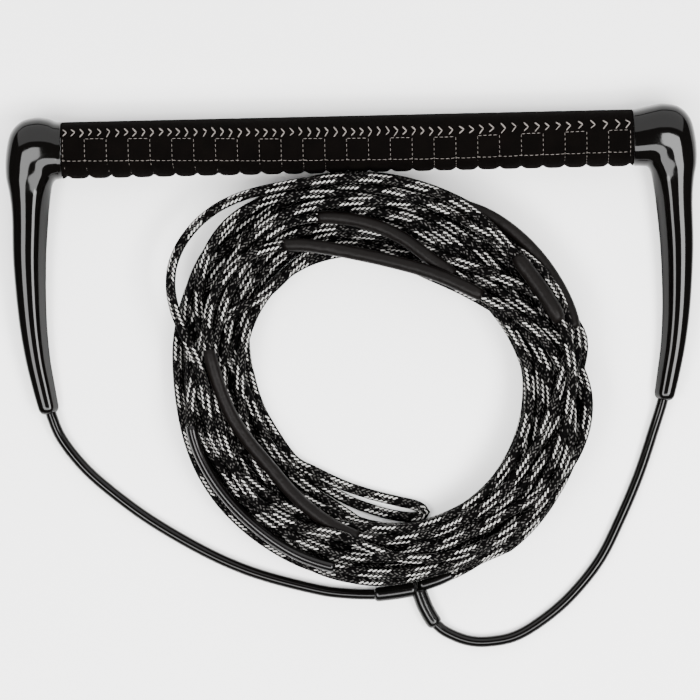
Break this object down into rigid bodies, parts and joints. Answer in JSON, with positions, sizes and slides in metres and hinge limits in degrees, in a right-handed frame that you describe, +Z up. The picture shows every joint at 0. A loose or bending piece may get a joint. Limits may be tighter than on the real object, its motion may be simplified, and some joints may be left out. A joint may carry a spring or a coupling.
{
  "type": "tow rope handle",
  "caption": "Padded wakeboard tow handle with moulded arms and a jacketed bridle, hitched to a braided mainline that lies coiled inside it.",
  "frame": {"origin": "on the floor under the middle of the handle's own box, the free rope left out", "axes": "+X along the grip, +Y from the hitch towards the grip, +Z up from the floor that the rope is laid on"},
  "size_m": [0.381, 0.2974, 0.0361],
  "materials": {
    "suede": "matte black suede, sewn in blocks with pale thread",
    "foam": "closed-cell foam",
    "aluminium": "satin drawn tube",
    "plug": "moulded, matte",
    "line": "braided line",
    "moulding": "glossy black moulded polyurethane",
    "jacket": "glossy black tubing",
    "sleeve": "smooth black shrunk sleeve, satin",
    "rope": "black braid with groups of white flecks"
  },
  "bodies": {
    "bridle": {"left_bridle_jacket": "jacket", "left_bridle_core": "line", "right_bridle_jacket": "jacket", "right_bridle_core": "line", "left_yoke_sleeve": "sleeve", "right_yoke_sleeve": "sleeve", "bridle_link": "line"},
    "handle": {"grip_hide": "suede", "grip_pad": "foam", "bar_tube": "aluminium", "float_core": "foam", "left_end_plug": "plug", "right_end_plug": "plug", "core_line": "line", "left_arm": "moulding", "right_arm": "moulding"},
    "mainline": {"mainline_eye": "line", "eye_sleeve": "sleeve", "mainline_lead": "rope", "rope_coil": "rope", "loose_turn": "rope", "tow_eye": "rope", "section_sleeve_1": "sleeve", "section_sleeve_2": "sleeve", "section_sleeve_3": "sleeve", "section_sleeve_4": "sleeve", "section_sleeve_5": "sleeve"}
  },
  "joints": [
    {"name": "handle_swing", "type": "hinge", "parent": "bridle", "child": "handle", "pos_m": [0, -0.07619, 0.0057], "axis": [1, 0, 0], "range_deg": [0, 105]},
    {"name": "rope_swing", "type": "hinge", "parent": "bridle", "child": "mainline", "pos_m": [0.0298, -0.1825, 0.0045], "axis": [1, 0, 0], "range_deg": [0, 90]}
  ]
}
